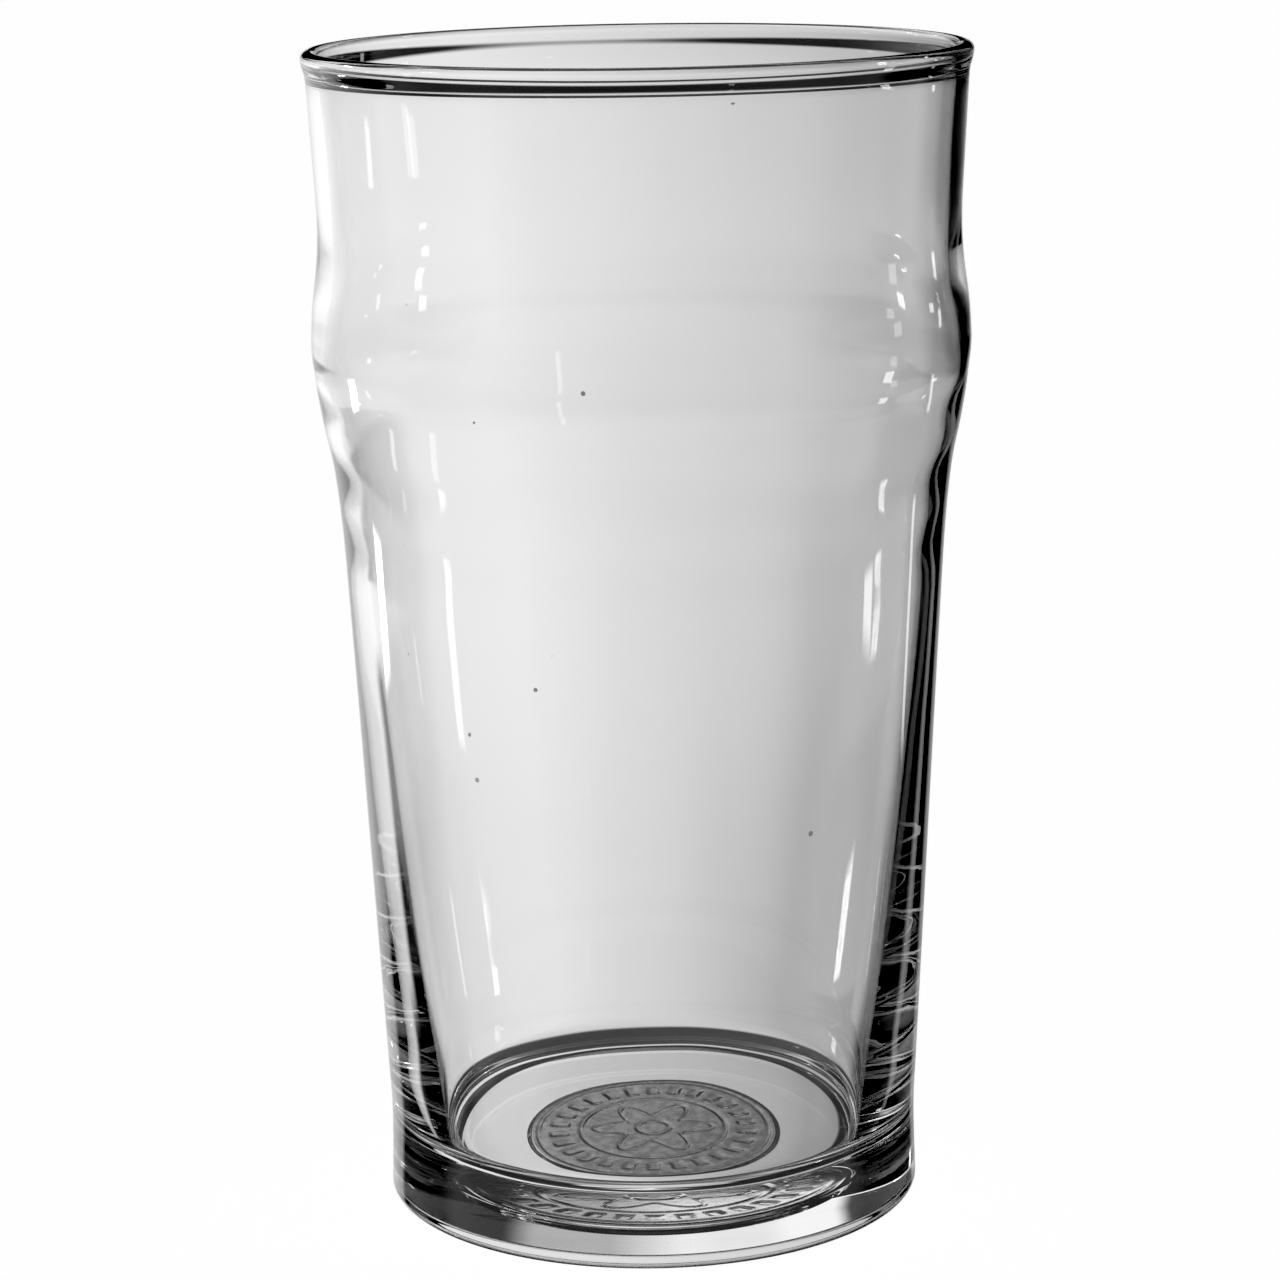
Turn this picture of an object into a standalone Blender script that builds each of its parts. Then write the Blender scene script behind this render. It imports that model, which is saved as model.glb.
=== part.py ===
"""Pint tumbler of the bulged "nonic" pattern, in clear soda-lime glass.

The glass is one continuous moulded piece, so it is one object. It is turned about +Z: metres, +Z up, with the
origin at the centre of the circle that it stands on. The wall section is described below in millimetres, as a
drawing of a tumbler would give it, and is then spun round the axis.
"""

import math

import bmesh
import bpy

MM = 0.001

# Overall sizes, in millimetres
HEIGHT = 152.6  # standing plane to the crest of the rim
RIM_RADIUS = 43.0  # outside of the rolled rim
BULGE_RADIUS = 42.75  # outside of the anti-nick bulge
NECK_RADIUS = 41.5  # outside of the waist between rim and bulge
FOOT_RADIUS = 35.45  # outside of the foot
SEGMENTS = 72  # facets round the axis, a multiple of four so that the box is exact

# Rolled rim: a fire-polished bead, thicker than the wall under it
BEAD_OUT = 1.2  # radial reach of the bead outwards from its crest
BEAD_IN = 1.17  # and inwards
BEAD_WIDEST = 0.9  # depth of the widest ring below the crest
BEAD_ROOT = 4.4  # depth at which the bead has run out into the wall

# Base
FLOOR = 8.0  # height of the inside floor, at the start of its corner
FLOOR_CROWN = 0.15  # how far the middle of the floor stands above that
FLOOR_RADIUS = 25.0  # flat part of the floor
CORNER_TOP = 11.9  # where the inside corner runs out into the wall
HEEL = 1.35  # rounding between foot and standing ring
RING_OUTER = FOOT_RADIUS - HEEL  # standing ring, the flat that the glass rests on
RING_INNER = 32.2
RING_RISE = 0.8  # width of the rise from the standing ring into the recess
PUNT_RIM = 1.2  # depth of the recess just inside that rise
PUNT = 0.95  # and beside the roundel
ROUNDEL_RADIUS = 17.2  # the stepped disc in the middle of the underside
ROUNDEL_STEP = 0.75

# Outside of the wall, from the foot up: height, radius, and slope (radius gained for each millimetre of height)
OUTER_WALL = (
    (HEEL, FOOT_RADIUS, -0.030),  # top of the heel rounding
    (10.8, 35.22, 0.000),  # slight waist of the foot
    (17.5, 35.53, 0.0523),  # start of the straight taper
    (86.0, 39.11, 0.0560),  # end of the straight taper
    (96.0, 39.92, 0.1150),  # hollow under the bulge
    (102.0, 40.88, 0.2400),  # steepest part of the bulge's underside
    (107.5, 41.93, 0.1650),
    (112.4, 42.56, 0.1250),
    (114.4, BULGE_RADIUS, 0.0200),  # widest ring of the bulge
    (118.2, 42.60, -0.0550),  # gently leaning band above it
    (120.6, 42.37, -0.1200),
    (124.8, 41.81, -0.1050),
    (129.6, NECK_RADIUS, 0.0000),  # waist
    (137.9, 41.84, 0.0540),
    (HEIGHT - BEAD_ROOT, 42.40, 0.0560),
)

# Inside of the wall, from the corner of the floor up
INNER_WALL = (
    (CORNER_TOP, 29.11, 0.125),
    (19.0, 30.03, 0.125),
    (28.0, 31.16, 0.118),
    (44.7, 32.96, 0.100),
    (66.5, 35.00, 0.090),
    (86.0, 36.56, 0.078),
    (93.5, 37.48, 0.118),
    (99.5, 38.50, 0.225),
    (105.0, 39.75, 0.190),
    (111.3, 40.86, 0.055),
    (115.7, 40.78, -0.075),
    (122.3, 40.06, -0.100),
    (129.6, 39.76, 0.000),
    (137.9, 40.10, 0.054),
    (HEIGHT - BEAD_ROOT, 40.64, 0.040),
)


def hermite(stations, most):
    """Points (radius, height) along a smooth curve through the stations, at most `most` mm of height apart."""
    points = []
    for (z0, r0, s0), (z1, r1, s1) in zip(stations, stations[1:]):
        span = z1 - z0
        pieces = max(1, math.ceil(span / most))
        for i in range(pieces):
            t = i / pieces
            radius = (
                (2 * t**3 - 3 * t**2 + 1) * r0
                + (t**3 - 2 * t**2 + t) * span * s0
                + (3 * t**2 - 2 * t**3) * r1
                + (t**3 - t**2) * span * s1
            )
            points.append((radius, z0 + t * span))
    last = stations[-1]
    points.append((last[1], last[0]))
    return points


def quarter(centre, reach, rise, start, end, pieces):
    """Points on an ellipse about centre, from start to end degrees, both ends left out."""
    points = []
    for i in range(1, pieces):
        a = math.radians(start + (end - start) * i / pieces)
        points.append((centre[0] + reach * math.cos(a), centre[1] + rise * math.sin(a)))
    return points


def section():
    """The whole outline of the glass, from the middle of the floor, over the rim and down to the middle underneath."""
    floor = [(0.0, FLOOR + FLOOR_CROWN), (FLOOR_RADIUS * 0.55, FLOOR + FLOOR_CROWN * 0.6), (FLOOR_RADIUS, FLOOR)]
    corner = quarter(
        (FLOOR_RADIUS, CORNER_TOP + 0.3), INNER_WALL[0][1] - FLOOR_RADIUS, CORNER_TOP + 0.3 - FLOOR, -90, -4, 7
    )
    inside = hermite(INNER_WALL, 12.0)

    crest = RIM_RADIUS - BEAD_OUT
    bead = [(crest - BEAD_IN, HEIGHT - 1.15)]
    bead += quarter((crest, HEIGHT - 1.15), BEAD_IN, 1.15, 180, 90, 3)
    bead += [(crest, HEIGHT)]
    bead += quarter((crest, HEIGHT - BEAD_WIDEST), BEAD_OUT, BEAD_WIDEST, 90, 0, 3)
    bead += [
        (RIM_RADIUS, HEIGHT - BEAD_WIDEST),
        (RIM_RADIUS - 0.12, HEIGHT - 1.9),
        (RIM_RADIUS - 0.33, HEIGHT - 2.6),
        (RIM_RADIUS - 0.52, HEIGHT - 3.3),
    ]

    outside = hermite(OUTER_WALL, 12.0)[::-1]
    heel = quarter((RING_OUTER, HEEL), HEEL, HEEL, 0, -90, 4)
    underside = [
        (RING_OUTER, 0.0),
        (RING_INNER, 0.0),
        (RING_INNER - RING_RISE * 0.3, PUNT_RIM * 0.22),
        (RING_INNER - RING_RISE * 0.7, PUNT_RIM * 0.78),
        (RING_INNER - RING_RISE, PUNT_RIM),
        (ROUNDEL_RADIUS + 0.4, PUNT),
        (ROUNDEL_RADIUS, PUNT + ROUNDEL_STEP),
        (0.0, PUNT + ROUNDEL_STEP),
    ]
    return floor + corner + inside + bead + outside + heel + underside


def clear_glass():
    """Clear soda-lime glass with a faint cool cast."""
    material = bpy.data.materials.new("clear_glass")
    material.use_nodes = True
    shader = material.node_tree.nodes["Principled BSDF"]
    shader.inputs["Base Color"].default_value = (0.95, 0.97, 0.96, 1.0)
    shader.inputs["Metallic"].default_value = 0.0
    shader.inputs["Roughness"].default_value = 0.02
    shader.inputs["IOR"].default_value = 1.52
    shader.inputs["Transmission Weight"].default_value = 1.0
    return material


def spun(name, outline):
    """The outline turned once round +Z into a closed mesh object."""
    shape = bmesh.new()
    verts = [shape.verts.new((r * MM, 0.0, z * MM)) for r, z in outline]
    edges = [shape.edges.new(pair) for pair in zip(verts, verts[1:])]
    bmesh.ops.spin(
        shape,
        geom=verts + edges,
        cent=(0.0, 0.0, 0.0),
        axis=(0.0, 0.0, 1.0),
        angle=math.tau,
        steps=SEGMENTS,
        use_merge=False,
    )
    bmesh.ops.remove_doubles(shape, verts=shape.verts[:], dist=1e-6)
    bmesh.ops.dissolve_degenerate(shape, dist=1e-7, edges=shape.edges[:])
    bmesh.ops.recalc_face_normals(shape, faces=shape.faces[:])
    mesh = bpy.data.meshes.new(name)
    shape.to_mesh(mesh)
    shape.free()
    mesh.shade_smooth()
    mesh.set_sharp_from_angle(angle=math.radians(40))
    made = bpy.data.objects.new(name, mesh)
    bpy.context.scene.collection.objects.link(made)
    return made


for old in list(bpy.data.objects):
    bpy.data.objects.remove(old, do_unlink=True)

glass_body = spun("glass_body", section())
glass_body.data.materials.append(clear_glass())
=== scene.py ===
import math

import bpy
import numpy as np
from mathutils import Matrix, Vector


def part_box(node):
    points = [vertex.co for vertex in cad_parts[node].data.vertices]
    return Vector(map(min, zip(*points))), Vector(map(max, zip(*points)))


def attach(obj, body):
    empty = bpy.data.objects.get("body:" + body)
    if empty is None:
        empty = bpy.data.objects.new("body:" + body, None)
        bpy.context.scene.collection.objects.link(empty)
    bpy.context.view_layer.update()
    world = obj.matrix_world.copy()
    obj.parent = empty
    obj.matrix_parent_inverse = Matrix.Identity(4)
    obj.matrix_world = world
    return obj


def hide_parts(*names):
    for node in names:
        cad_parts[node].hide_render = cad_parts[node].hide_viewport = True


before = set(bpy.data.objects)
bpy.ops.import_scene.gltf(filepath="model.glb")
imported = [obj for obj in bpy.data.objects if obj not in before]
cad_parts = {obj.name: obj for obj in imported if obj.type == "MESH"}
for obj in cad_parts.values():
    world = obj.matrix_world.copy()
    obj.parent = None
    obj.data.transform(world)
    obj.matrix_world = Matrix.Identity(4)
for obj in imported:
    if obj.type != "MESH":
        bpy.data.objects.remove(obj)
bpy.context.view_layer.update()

CAD_LOW, CAD_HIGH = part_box("glass_body")

MM = 0.001
TAU = math.tau

# ----------------------------------------------------------------------------------------------------------------------
# The glass: a surface of revolution, in millimetres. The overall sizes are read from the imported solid.
# ----------------------------------------------------------------------------------------------------------------------
HEIGHT = (CAD_HIGH.z - CAD_LOW.z) / MM - 0.004
RIM = (CAD_HIGH.x - CAD_LOW.x) / 2 / MM - 0.004
SEGMENTS = 288

BEAD_OUT, BEAD_IN, BEAD_WIDEST, BEAD_DEEP, BEAD_ROOT = 1.2, 1.17, 0.9, 1.15, 4.4
FOOT, HEEL, RING_INNER = 35.45, 1.35, 32.2
FLOOR, FLOOR_CROWN, FLOOR_RADIUS, CORNER_TOP = 8.0, 0.15, 25.0, 11.9
PUNT_RIM, PUNT, ROUNDEL, ROUNDEL_STEP, RIPPLE = 1.2, 0.95, 17.2, 0.75, 0.0
RELIEF = 0.16  # height of the embossed pattern under the base

OUTER_WALL = (
    (HEEL, FOOT, -0.030),
    (10.8, 35.22, 0.000),
    (17.5, 35.53, 0.0523),
    (86.0, 39.11, 0.0560),
    (96.0, 39.92, 0.1150),
    (102.0, 40.88, 0.2400),
    (107.5, 41.93, 0.1650),
    (112.4, 42.56, 0.1250),
    (114.4, 42.75, 0.0200),
    (118.2, 42.60, -0.0550),
    (120.6, 42.37, -0.1200),
    (124.8, 41.81, -0.1050),
    (129.6, 41.50, 0.0000),
    (137.9, 41.84, 0.0540),
    (HEIGHT - BEAD_ROOT, RIM - 0.60, 0.0560),
    (HEIGHT - 3.3, RIM - 0.49, 0.17),
    (HEIGHT - 2.6, RIM - 0.32, 0.33),
    (HEIGHT - 1.9, RIM - 0.11, 0.22),
    (HEIGHT - BEAD_WIDEST, RIM, 0.0),
)
INNER_WALL = (
    (CORNER_TOP, 29.11, 0.125),
    (19.0, 30.03, 0.125),
    (28.0, 31.16, 0.118),
    (44.7, 32.96, 0.100),
    (66.5, 35.00, 0.090),
    (86.0, 36.56, 0.078),
    (93.5, 37.48, 0.118),
    (99.5, 38.50, 0.225),
    (105.0, 39.75, 0.190),
    (111.3, 40.86, 0.055),
    (115.7, 40.78, -0.075),
    (122.3, 40.06, -0.100),
    (129.6, 39.76, 0.000),
    (137.9, 40.10, 0.054),
    (HEIGHT - BEAD_ROOT, 40.64, 0.040),
    (HEIGHT - BEAD_DEEP, RIM - BEAD_OUT - BEAD_IN, -0.02),
)


def hermite(stations, step, fine=(), fine_step=0.5):
    """Points (radius, height) on the smooth curve through the stations, with shorter steps inside the fine spans."""
    points = []
    for (z0, r0, s0), (z1, r1, s1) in zip(stations, stations[1:]):
        span = z1 - z0
        middle = (z0 + z1) / 2
        use = fine_step if any(a <= middle <= b for a, b in fine) else step
        pieces = max(1, math.ceil(span / use - 1e-6))
        for i in range(pieces):
            t = i / pieces
            points.append(
                (
                    (2 * t**3 - 3 * t**2 + 1) * r0
                    + (t**3 - 2 * t**2 + t) * span * s0
                    + (3 * t**2 - 2 * t**3) * r1
                    + (t**3 - t**2) * span * s1,
                    z0 + t * span,
                )
            )
    points.append((stations[-1][1], stations[-1][0]))
    return points


def arc(centre, reach, rise, start, end, pieces):
    """Points on an ellipse, from start to end degrees, without its two ends."""
    angles = [math.radians(start + (end - start) * i / pieces) for i in range(1, pieces)]
    return [(centre[0] + reach * math.cos(a), centre[1] + rise * math.sin(a)) for a in angles]


def relief(radius, angle):
    """Height, from 0 to 1, of the plain pattern embossed under the base: a rosette inside a ring of short bars."""
    def band(value, half, soft):
        return np.clip((half - np.abs(value)) / soft + 0.5, 0, 1)

    count = 26
    turn = (angle / TAU * count) % 1.0 - 0.5
    sideways = turn * TAU / count * radius
    bars = band(sideways, 0.75, 0.30) * band(radius - 13.0, 1.25, 0.35)
    ring = band(radius - 10.0, 0.22, 0.25) + band(radius - 15.9, 0.18, 0.25)
    lobes = 6.3 + 1.9 * np.cos(6 * angle)
    rosette = band(radius - lobes, 0.24, 0.28)
    hub = band(radius - 2.2, 0.24, 0.25)
    return np.clip(bars + ring + rosette + hub, 0, 1)


def outline():
    """(rings, first roundel ring): the section from the middle of the floor, over the rim, to the middle underneath."""
    floor = [(0.0, FLOOR + FLOOR_CROWN)]
    for i in range(1, 7):
        x = i / 6
        floor.append((FLOOR_RADIUS * x, FLOOR + FLOOR_CROWN * (1 - x * x)))
    rise = CORNER_TOP + 0.3 - FLOOR
    corner = arc((FLOOR_RADIUS, CORNER_TOP + 0.3), INNER_WALL[0][1] - FLOOR_RADIUS, rise, -90, -4, 22)
    inside = hermite(INNER_WALL, 2.2, fine=((96, 122), (HEIGHT - 4.4, HEIGHT)), fine_step=1.3)
    crest = RIM - BEAD_OUT
    bead = arc((crest, HEIGHT - BEAD_DEEP), BEAD_IN, BEAD_DEEP, 180, 90, 9) + [(crest, HEIGHT)]
    bead += arc((crest, HEIGHT - BEAD_WIDEST), BEAD_OUT, BEAD_WIDEST, 90, 0, 9)
    outer = hermite(OUTER_WALL, 2.4, fine=((94, 126),), fine_step=1.2)
    top = [p for p in outer if p[1] > HEIGHT - BEAD_ROOT]
    low = [p for p in outer if p[1] <= HEIGHT - BEAD_ROOT]
    dense = hermite(OUTER_WALL[-5:], 0.3)
    outer = low + [p for p in dense if p[1] > low[-1][1] + 0.05]
    heel = arc((FOOT - HEEL, HEEL), HEEL, HEEL, 0, -90, 9)
    under = [(FOOT - HEEL, 0.0), (RING_INNER, 0.0)]
    for i in range(1, 9):
        t = i / 8
        under.append((RING_INNER - 0.8 * t, PUNT_RIM * t * t * (3 - 2 * t)))
    steps = 40
    for i in range(1, steps + 1):
        u = i / steps
        r = RING_INNER - 0.8 + (ROUNDEL + 0.4 - RING_INNER + 0.8) * u
        ripple = RIPPLE * math.sin(TAU * (r - ROUNDEL) / 6.4 + 2.95) * min(1.0, 5 * u) * min(1.0, 6 * (1 - u))
        under.append((r, PUNT_RIM + (PUNT - PUNT_RIM) * u + ripple))
    under += [(ROUNDEL + 0.22, PUNT), (ROUNDEL, PUNT + ROUNDEL_STEP * 0.5), (ROUNDEL - 0.22, PUNT + ROUNDEL_STEP)]
    rings = floor + corner + inside + bead + outer[::-1] + heel + under
    first = len(rings)
    radii = list(np.arange(16.7, 1.2, -0.26)) + [0.6]
    rings += [(float(r), PUNT + ROUNDEL_STEP) for r in radii] + [(0.0, PUNT + ROUNDEL_STEP)]
    return rings, first


def unevenness(angle, z, inner):
    """Slight hand of the mould and of the blowing, in millimetres, on the wall only."""
    fade = np.clip((z - 20) / 12, 0, 1) * np.clip((HEIGHT - 5 - z) / 8, 0, 1)
    if inner:
        waves = (
            0.020 * np.sin(5 * angle + 0.035 * z + 0.6)
            + 0.012 * np.sin(9 * angle - 0.05 * z + 2.1)
            + 0.006 * np.sin(16 * angle + 0.02 * z + 4.0)
            + 0.010 * np.sin(3 * angle + 0.11 * z)
        )
    else:
        waves = 0.006 * np.sin(7 * angle + 0.03 * z + 1.3) + 0.004 * np.sin(13 * angle - 0.04 * z)
    return waves * fade


def rim_fullness(angle):
    """How far the hollow under the rim is filled out: most of it at the back, and little at the front and right."""
    back = np.clip(np.sin(angle), 0, 1) ** 0.7
    return back * (0.66 - 0.30 * np.clip(np.cos(angle - 0.75), 0, 1) ** 3 + 0.16 * np.clip(np.cos(angle - 2.5), 0, 1))


def build_glass():
    rings, first = outline()
    angle = np.arange(SEGMENTS) * TAU / SEGMENTS
    cos, sin = np.cos(angle), np.sin(angle)
    top = max(range(len(rings)), key=lambda i: rings[i][1])
    verts, start = [], []
    for i, (r, z) in enumerate(rings):
        start.append(len(verts))
        if r == 0.0:
            verts.append((0.0, 0.0, z * MM))
            continue
        radius = np.full(SEGMENTS, float(r))
        height = np.full(SEGMENTS, float(z))
        if z > 20:
            radius = np.minimum(radius + unevenness(angle, z, i < top), RIM)
        if i > top and HEIGHT - BEAD_ROOT < z < HEIGHT - BEAD_WIDEST:
            share = (HEIGHT - BEAD_WIDEST - z) / (BEAD_ROOT - BEAD_WIDEST)
            radius = radius + rim_fullness(angle) * (RIM - 0.60 * share - r)
        if i >= first:
            height = height - RELIEF * relief(r, angle) * min(1.0, max(0.0, (16.7 - r) / 0.3))
        verts += list(zip(radius * cos * MM, radius * sin * MM, height * MM))
    faces = []
    n = SEGMENTS
    for i in range(len(rings) - 1):
        a, b = start[i], start[i + 1]
        if rings[i][0] == 0.0:
            faces += [(a, b + j, b + (j + 1) % n) for j in range(n)]
        elif rings[i + 1][0] == 0.0:
            faces += [(a + j, b, a + (j + 1) % n) for j in range(n)]
        else:
            faces += [(a + j, b + j, b + (j + 1) % n, a + (j + 1) % n) for j in range(n)]
    mesh = bpy.data.meshes.new("pint_glass")
    mesh.from_pydata([tuple(map(float, v)) for v in verts], [], faces)
    mesh.validate()
    mesh.shade_smooth()
    mesh.update()
    made = bpy.data.objects.new("pint_glass", mesh)
    bpy.context.scene.collection.objects.link(made)
    return made


# ----------------------------------------------------------------------------------------------------------------------
# Node helpers
# ----------------------------------------------------------------------------------------------------------------------
class Nodes:
    """A short way to write node trees as sums: sockets and plain numbers go in, a socket comes out."""

    def __init__(self, tree):
        self.tree = tree

    def new(self, kind, **settings):
        node = self.tree.nodes.new(kind)
        for key, value in settings.items():
            setattr(node, key, value)
        return node

    def put(self, socket, value):
        if isinstance(value, bpy.types.NodeSocket):
            self.tree.links.new(value, socket)
        else:
            socket.default_value = value

    def math(self, operation, *values, clamp=False):
        node = self.new("ShaderNodeMath", operation=operation, use_clamp=clamp)
        for socket, value in zip(node.inputs, values):
            self.put(socket, value)
        return node.outputs[0]

    def add(self, *values):
        total = values[0]
        for value in values[1:]:
            total = self.math("ADD", total, value)
        return total

    def mul(self, *values):
        total = values[0]
        for value in values[1:]:
            total = self.math("MULTIPLY", total, value)
        return total

    def ramp(self, value, low, high, at_low=0.0, at_high=1.0, smooth=True):
        node = self.new("ShaderNodeMapRange", interpolation_type="SMOOTHSTEP" if smooth else "LINEAR", clamp=True)
        for socket, number in zip(node.inputs[:5], (value, low, high, at_low, at_high)):
            self.put(socket, number)
        return node.outputs[0]

    def dot(self, vector, fixed):
        node = self.new("ShaderNodeVectorMath", operation="DOT_PRODUCT")
        self.put(node.inputs[0], vector)
        node.inputs[1].default_value = fixed
        return node.outputs["Value"]


def direction(azimuth, elevation):
    """A unit vector: azimuth 0 is +Y, behind the glass, and 90 is +X."""
    a, e = math.radians(azimuth), math.radians(elevation)
    return Vector((math.sin(a) * math.cos(e), math.cos(a) * math.cos(e), math.sin(e)))


# ----------------------------------------------------------------------------------------------------------------------
# The studio, as light by direction
# ----------------------------------------------------------------------------------------------------------------------
# Each soft light: azimuth and elevation of its middle, half width and half height in degrees, strength.
LIGHTS = (
    (-57.5, -14.6, 2.6, 1.0, 9.0),
    (85.0, -14.0, 2.2, 2.6, 6.5),
    (81.5, -1.2, 2.0, 1.4, 2.5),
    (54.5, -3.0, 1.2, 1.3, 3.5),
    (57.0, -15.5, 1.0, 1.2, 3.0),
    (147.0, 13.5, 1.0, 2.2, 3.0),
    (-45.0, 22.0, 1.3, 1.3, 3.5),
    (-80.0, 22.0, 2.0, 2.0, 3.5),
)


def build_world():
    world = bpy.data.worlds.new("studio")
    bpy.context.scene.world = world
    world.use_nodes = True
    tree = world.node_tree
    tree.nodes.clear()
    n = Nodes(tree)
    ray = n.new("ShaderNodeTexCoord").outputs["Generated"]
    split = n.new("ShaderNodeSeparateXYZ")
    tree.links.new(ray, split.inputs[0])
    x, y, z = split.outputs
    az = n.mul(n.math("ARCTAN2", x, y), 180 / math.pi)
    el = n.mul(n.math("ARCSINE", z), 180 / math.pi)
    side = n.math("ABSOLUTE", az)

    # a pale sweep behind the glass, brighter on the left
    def over(value, floor, most):
        return n.math("MINIMUM", n.math("MAXIMUM", n.math("SUBTRACT", floor, value), 0.0), most)

    along = n.add(az, n.mul(0.04, over(el, -12.0, 20.0)))
    sweep = n.mul(n.ramp(along, -3.6, 7.0, 0.91, 0.45, smooth=False), n.ramp(az, -24.0, -17.0, 1.12, 1.0))
    dip = n.mul(n.ramp(az, -10.0, -6.0, 1.0, 0.0), n.ramp(az, -22.0, -15.0), 0.05)
    height = n.math("MAXIMUM", n.math("MINIMUM", n.add(el, 10.5), 8.0), -8.0)
    bow = n.math("SUBTRACT", 1.02, n.mul(0.0012, height, height))
    sweep = n.mul(sweep, n.math("SUBTRACT", 1.0, dip), bow)
    front = n.ramp(side, 60.0, 100.0, 1.0, 0.0)
    level = n.add(n.mul(sweep, front), n.mul(0.45, n.math("SUBTRACT", 1.0, front)))
    # a black card on the right, whose edge leans away further down, and a dark patch low on the left
    past = n.math("SUBTRACT", az, n.add(9.5, n.mul(0.9, over(el, -6.0, 10.0))))
    card = n.mul(n.ramp(past, 0.0, 8.0), n.ramp(az, 58.0, 66.0, 1.0, 0.0))
    low = n.mul(n.ramp(az, -33.0, -27.0, 1.0, 0.0), n.ramp(az, -66.0, -58.0), n.ramp(el, -30.0, -26.0, 1.0, 0.0))
    # the dark edge of the table to either side
    table = n.mul(n.ramp(side, 33.0, 39.0), n.ramp(side, 74.0, 88.0, 1.0, 0.0), n.ramp(el, -18.8, -17.2, 1.0, 0.0), n.ramp(el, -72.0, -66.0))
    for shade in (card, low, table):
        level = n.mul(level, n.math("SUBTRACT", 1.0, n.mul(0.98, shade)))
    # it stops just above the level of the rim, and the table close behind the foot is in shade
    level = n.mul(level, n.ramp(el, 2.0, 4.0, 1.0, 0.0))
    shade = n.mul(n.ramp(el, -41.0, -37.0, 1.0, 0.0), n.ramp(el, -72.0, -66.0), n.ramp(side, 85.0, 110.0, 1.0, 0.0))
    level = n.mul(level, n.math("SUBTRACT", 1.0, n.mul(0.96, shade)))
    # the room on the camera's side, over a pale table
    back = n.ramp(side, 100.0, 130.0)
    room = n.add(
        n.mul(0.14, n.ramp(el, 18.0, 30.0, 1.0, 0.0)),
        n.mul(0.40, n.ramp(el, -48.0, -26.0), n.ramp(el, 2.0, 16.0, 1.0, 0.0)),
        n.mul(0.5, n.ramp(el, -72.0, -60.0, 1.0, 0.0)),
    )
    total = n.add(n.mul(level, n.math("SUBTRACT", 1.0, back)), n.mul(room, back), 0.01)
    for middle, height, wide, tall, strength in LIGHTS:
        across = n.math("ABSOLUTE", n.math("SUBTRACT", az, middle))
        up = n.math("ABSOLUTE", n.math("SUBTRACT", el, height))
        soft = min(0.35, 0.3 * wide)
        box = n.mul(n.ramp(across, wide - soft, wide + soft, 1.0, 0.0), n.ramp(up, tall - 0.35, tall + 0.35, 1.0, 0.0))
        total = n.add(total, n.mul(box, strength))
    background = n.new("ShaderNodeBackground")
    tree.links.new(total, background.inputs["Strength"])
    background.inputs["Color"].default_value = (1.0, 1.0, 1.0, 1.0)
    out = n.new("ShaderNodeOutputWorld")
    tree.links.new(background.outputs[0], out.inputs["Surface"])
    return world


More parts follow.
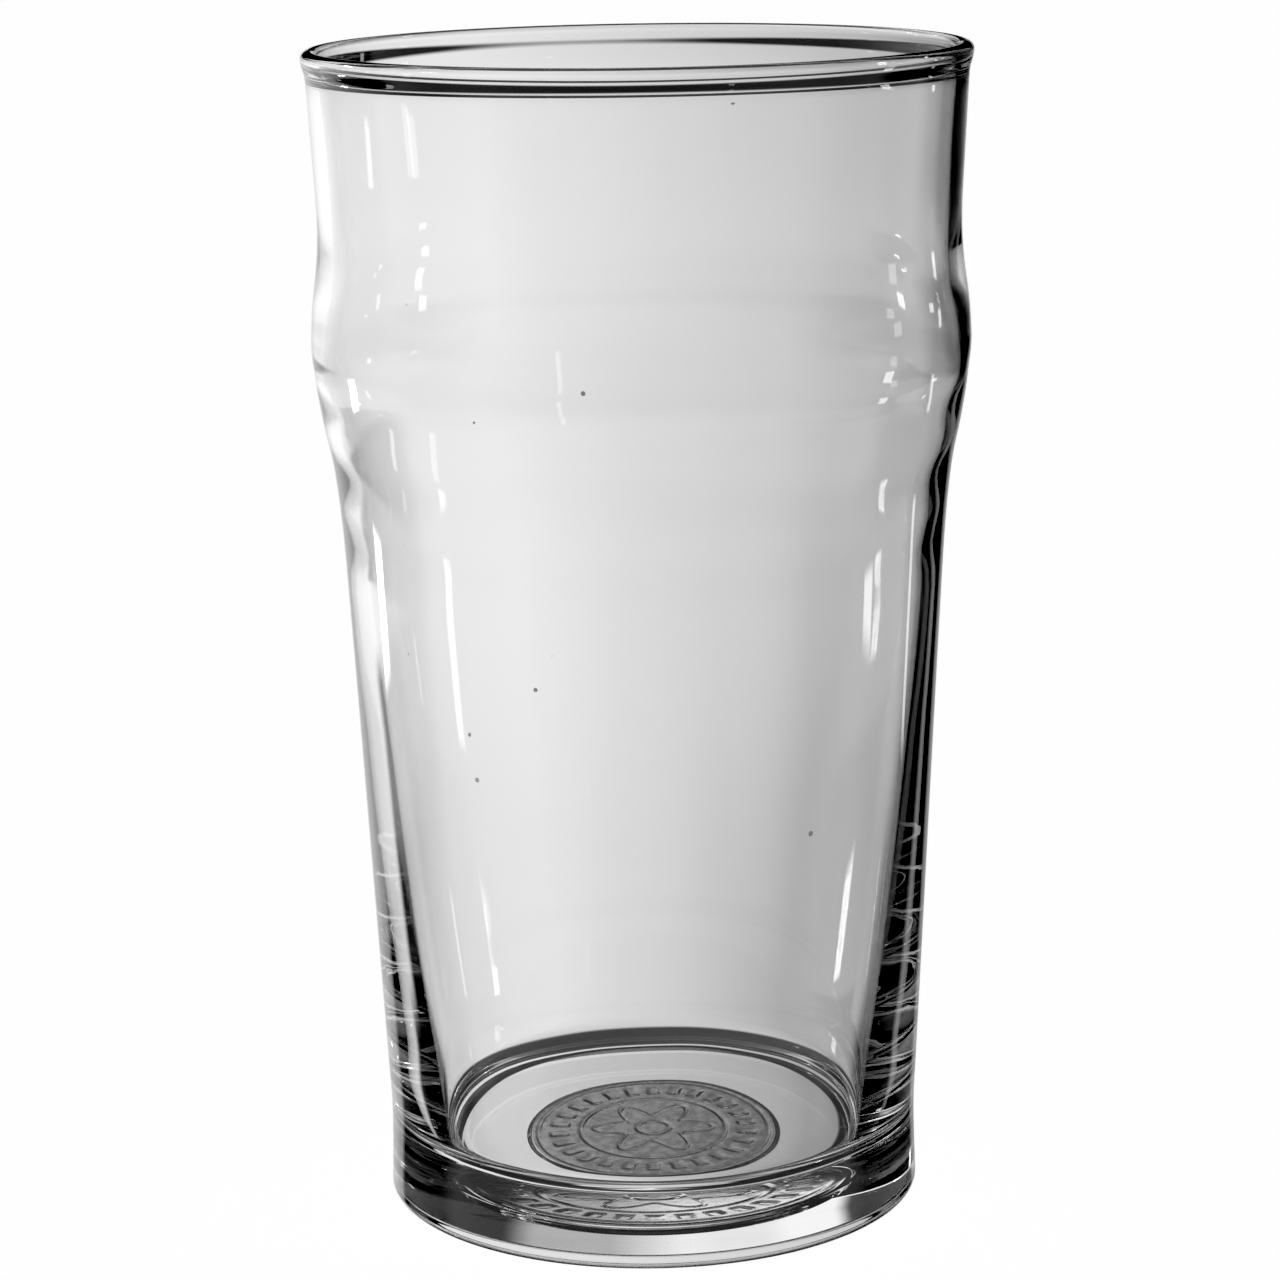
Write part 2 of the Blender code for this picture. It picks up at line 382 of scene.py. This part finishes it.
# ----------------------------------------------------------------------------------------------------------------------
# Materials
# ----------------------------------------------------------------------------------------------------------------------
def glass_material():
    """Clear soda-lime glass: fire-polished, a little uneven, faintly smeared and dusty, and frosted on the roundel,
    whose colour is also darkened there as painted shade.
    """
    material = bpy.data.materials.new("clear_glass")
    material.use_nodes = True
    tree = material.node_tree
    tree.nodes.clear()
    n = Nodes(tree)
    place = n.new("ShaderNodeTexCoord").outputs["Object"]
    split = n.new("ShaderNodeSeparateXYZ")
    tree.links.new(place, split.inputs[0])
    x, y, z = split.outputs
    radius = n.math("SQRT", n.add(n.mul(x, x), n.mul(y, y)))

    def noise(scale, detail, stretch=(1.0, 1.0, 1.0), offset=(0.0, 0.0, 0.0), rough=0.5):
        mapping = n.new("ShaderNodeMapping")
        tree.links.new(place, mapping.inputs["Vector"])
        mapping.inputs["Scale"].default_value = stretch
        mapping.inputs["Location"].default_value = offset
        node = n.new("ShaderNodeTexNoise")
        tree.links.new(mapping.outputs[0], node.inputs["Vector"])
        node.inputs["Scale"].default_value = scale
        node.inputs["Detail"].default_value = detail
        node.inputs["Roughness"].default_value = rough
        return node.outputs["Fac"]

    # the roundel under the base, left as the mould made it; its colour is darkened there too, as painted shade
    roundel = n.mul(n.ramp(radius, 0.0166, 0.0172, 1.0, 0.0), n.ramp(z, 0.0030, 0.0036, 1.0, 0.0))
    grain = noise(900.0, 4.0)
    # dust: a few specks from a cell pattern, most cells left empty
    cells = n.new("ShaderNodeTexVoronoi", feature="F1")
    tree.links.new(place, cells.inputs["Vector"])
    cells.inputs["Scale"].default_value = 150.0
    chosen = n.new("ShaderNodeSeparateColor")
    tree.links.new(cells.outputs["Color"], chosen.inputs[0])
    pick = n.ramp(chosen.outputs[0], 0.90, 0.92)
    size = n.add(0.018, n.mul(0.04, chosen.outputs[1]))
    near = n.math("LESS_THAN", cells.outputs["Distance"], size)
    dust = n.mul(pick, near, n.math("SUBTRACT", 1.0, roundel))
    # fine drag marks down the wall
    streak = n.ramp(noise(520.0, 3.0, stretch=(1.0, 1.0, 0.035), offset=(0.3, 0.1, 0.7)), 0.66, 0.74)
    smear = n.ramp(noise(45.0, 5.0, offset=(0.2, 0.5, 0.1), rough=0.6), 0.50, 0.75)

    dust_and_painted_shade = n.new("ShaderNodeMix", data_type="RGBA", blend_type="MIX")
    colours = [socket for socket in dust_and_painted_shade.inputs if socket.type == "RGBA"]
    colours[0].default_value = (0.987, 0.990, 0.988, 1.0)
    colours[1].default_value = (0.08, 0.082, 0.081, 1.0)
    # the dark mix: real dust, drag marks and smears, plus painted shade on the roundel
    share = n.add(
        n.mul(dust, 0.9),
        n.mul(streak, 0.012),
        n.mul(smear, 0.008),
        n.mul(roundel, n.add(0.70, n.mul(0.50, grain))),
    )
    n.put(dust_and_painted_shade.inputs["Factor"], share)
    colour = [socket for socket in dust_and_painted_shade.outputs if socket.type == "RGBA"][0]

    rough = n.add(n.mul(roundel, n.add(0.05, n.mul(0.14, grain))), n.mul(dust, 0.6), n.mul(smear, 0.012), n.mul(streak, 0.02))

    # the slight drag of the mould on the wall, and the coarse skin of the roundel
    wave = noise(95.0, 2.0, stretch=(1.0, 1.0, 0.12), offset=(0.0, 0.4, 0.9))
    skin = n.mul(roundel, grain)
    bump = n.new("ShaderNodeBump")
    bump.inputs["Strength"].default_value = 1.0
    bump.inputs["Distance"].default_value = 0.001
    tree.links.new(n.add(n.mul(wave, 0.010), n.mul(skin, 0.03)), bump.inputs["Height"])

    shader = n.new("ShaderNodeBsdfPrincipled")
    tree.links.new(colour, shader.inputs["Base Color"])
    tree.links.new(rough, shader.inputs["Roughness"])
    tree.links.new(bump.outputs[0], shader.inputs["Normal"])
    shader.inputs["Metallic"].default_value = 0.0
    shader.inputs["IOR"].default_value = 1.52
    shader.inputs["Transmission Weight"].default_value = 1.0
    out = n.new("ShaderNodeOutputMaterial")
    tree.links.new(shader.outputs[0], out.inputs["Surface"])
    return material


def floor_material():
    material = bpy.data.materials.new("pale_floor")
    material.use_nodes = True
    tree = material.node_tree
    tree.nodes.clear()
    n = Nodes(tree)
    shader = n.new("ShaderNodeBsdfPrincipled")
    shader.inputs["Base Color"].default_value = (0.75, 0.75, 0.75, 1.0)
    shader.inputs["Roughness"].default_value = 0.9
    shader.inputs["Specular IOR Level"].default_value = 0.0
    shader.inputs["Emission Color"].default_value = (1.0, 1.0, 1.0, 1.0)
    shader.inputs["Emission Strength"].default_value = 0.97
    out = n.new("ShaderNodeOutputMaterial")
    tree.links.new(shader.outputs[0], out.inputs["Surface"])
    return material


def dome_material():
    material = bpy.data.materials.new("pale_backdrop")
    material.use_nodes = True
    tree = material.node_tree
    tree.nodes.clear()
    n = Nodes(tree)
    glow = n.new("ShaderNodeEmission")
    glow.inputs["Color"].default_value = (1.0, 1.0, 1.0, 1.0)
    glow.inputs["Strength"].default_value = 0.98
    out = n.new("ShaderNodeOutputMaterial")
    tree.links.new(glow.outputs[0], out.inputs["Surface"])
    return material


# ----------------------------------------------------------------------------------------------------------------------
# Assembly
# ----------------------------------------------------------------------------------------------------------------------
def revolve(name, points, segments):
    """An open surface turned round the axis, in metres, for the stage only."""
    verts, faces = [], []
    for r, z in points:
        for j in range(segments):
            a = TAU * j / segments
            verts.append((r * math.cos(a), r * math.sin(a), z))
    for i in range(len(points) - 1):
        for j in range(segments):
            k = (j + 1) % segments
            faces.append((i * segments + j, i * segments + k, (i + 1) * segments + k, (i + 1) * segments + j))
    mesh = bpy.data.meshes.new(name)
    mesh.from_pydata(verts, [], faces)
    mesh.shade_smooth()
    made = bpy.data.objects.new(name, mesh)
    bpy.context.scene.collection.objects.link(made)
    return made


glass = build_glass()
glass.data.materials.append(glass_material())
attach(glass, "root")
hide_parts("glass_body")

floor = revolve("floor", [(0.0005, -0.00015), (0.03, -0.00015), (0.06, -0.00015), (0.2, -0.00015), (1.0, -0.00015), (4.0, -0.00015)], 96)
floor.data.materials.append(floor_material())
floor.visible_glossy = False
floor.visible_transmission = False
dome = revolve("backdrop", [(4.2 * math.cos(math.radians(a)) + 1e-4, 4.2 * math.sin(math.radians(a))) for a in range(-6, 91, 6)], 96)
dome.data.materials.append(dome_material())
for flag in ("visible_diffuse", "visible_glossy", "visible_transmission", "visible_volume_scatter", "visible_shadow"):
    setattr(dome, flag, False)

build_world()

# Camera: level with a person looking slightly down at the glass, on a long lens
REACH = 11.812 * 0.043
camera_data = bpy.data.cameras.new("camera")
camera_data.sensor_fit = "HORIZONTAL"
camera_data.sensor_width = 36.0
camera_data.lens = 110.78
camera_data.clip_start = 0.05
camera_data.clip_end = 20.0
camera = bpy.data.objects.new("camera", camera_data)
bpy.context.scene.collection.objects.link(camera)
camera.location = (0.0, -REACH, (HEIGHT + 0.787 * 43.0) * MM)
camera.rotation_mode = "QUATERNION"
turn = (
    Matrix.Rotation(math.radians(0.0886), 4, "Z")
    @ Matrix.Rotation(math.radians(90 - 12.421), 4, "X")
    @ Matrix.Rotation(math.radians(-0.9), 4, "Z")
)
camera.rotation_quaternion = turn.to_quaternion()
bpy.context.scene.camera = camera

scene = bpy.context.scene
scene.view_settings.view_transform = "Standard"
scene.view_settings.look = "None"
scene.view_settings.exposure = 0.0
scene.view_settings.gamma = 1.0
scene.view_settings.use_curve_mapping = True
levels = scene.view_settings.curve_mapping
levels.black_level = (0.02, 0.02, 0.02)
levels.white_level = (1.0, 1.0, 1.0)
levels.update()
scene.cycles.max_bounces = 32
scene.cycles.transmission_bounces = 32
scene.cycles.glossy_bounces = 16
scene.cycles.diffuse_bounces = 2
scene.cycles.use_denoising = True
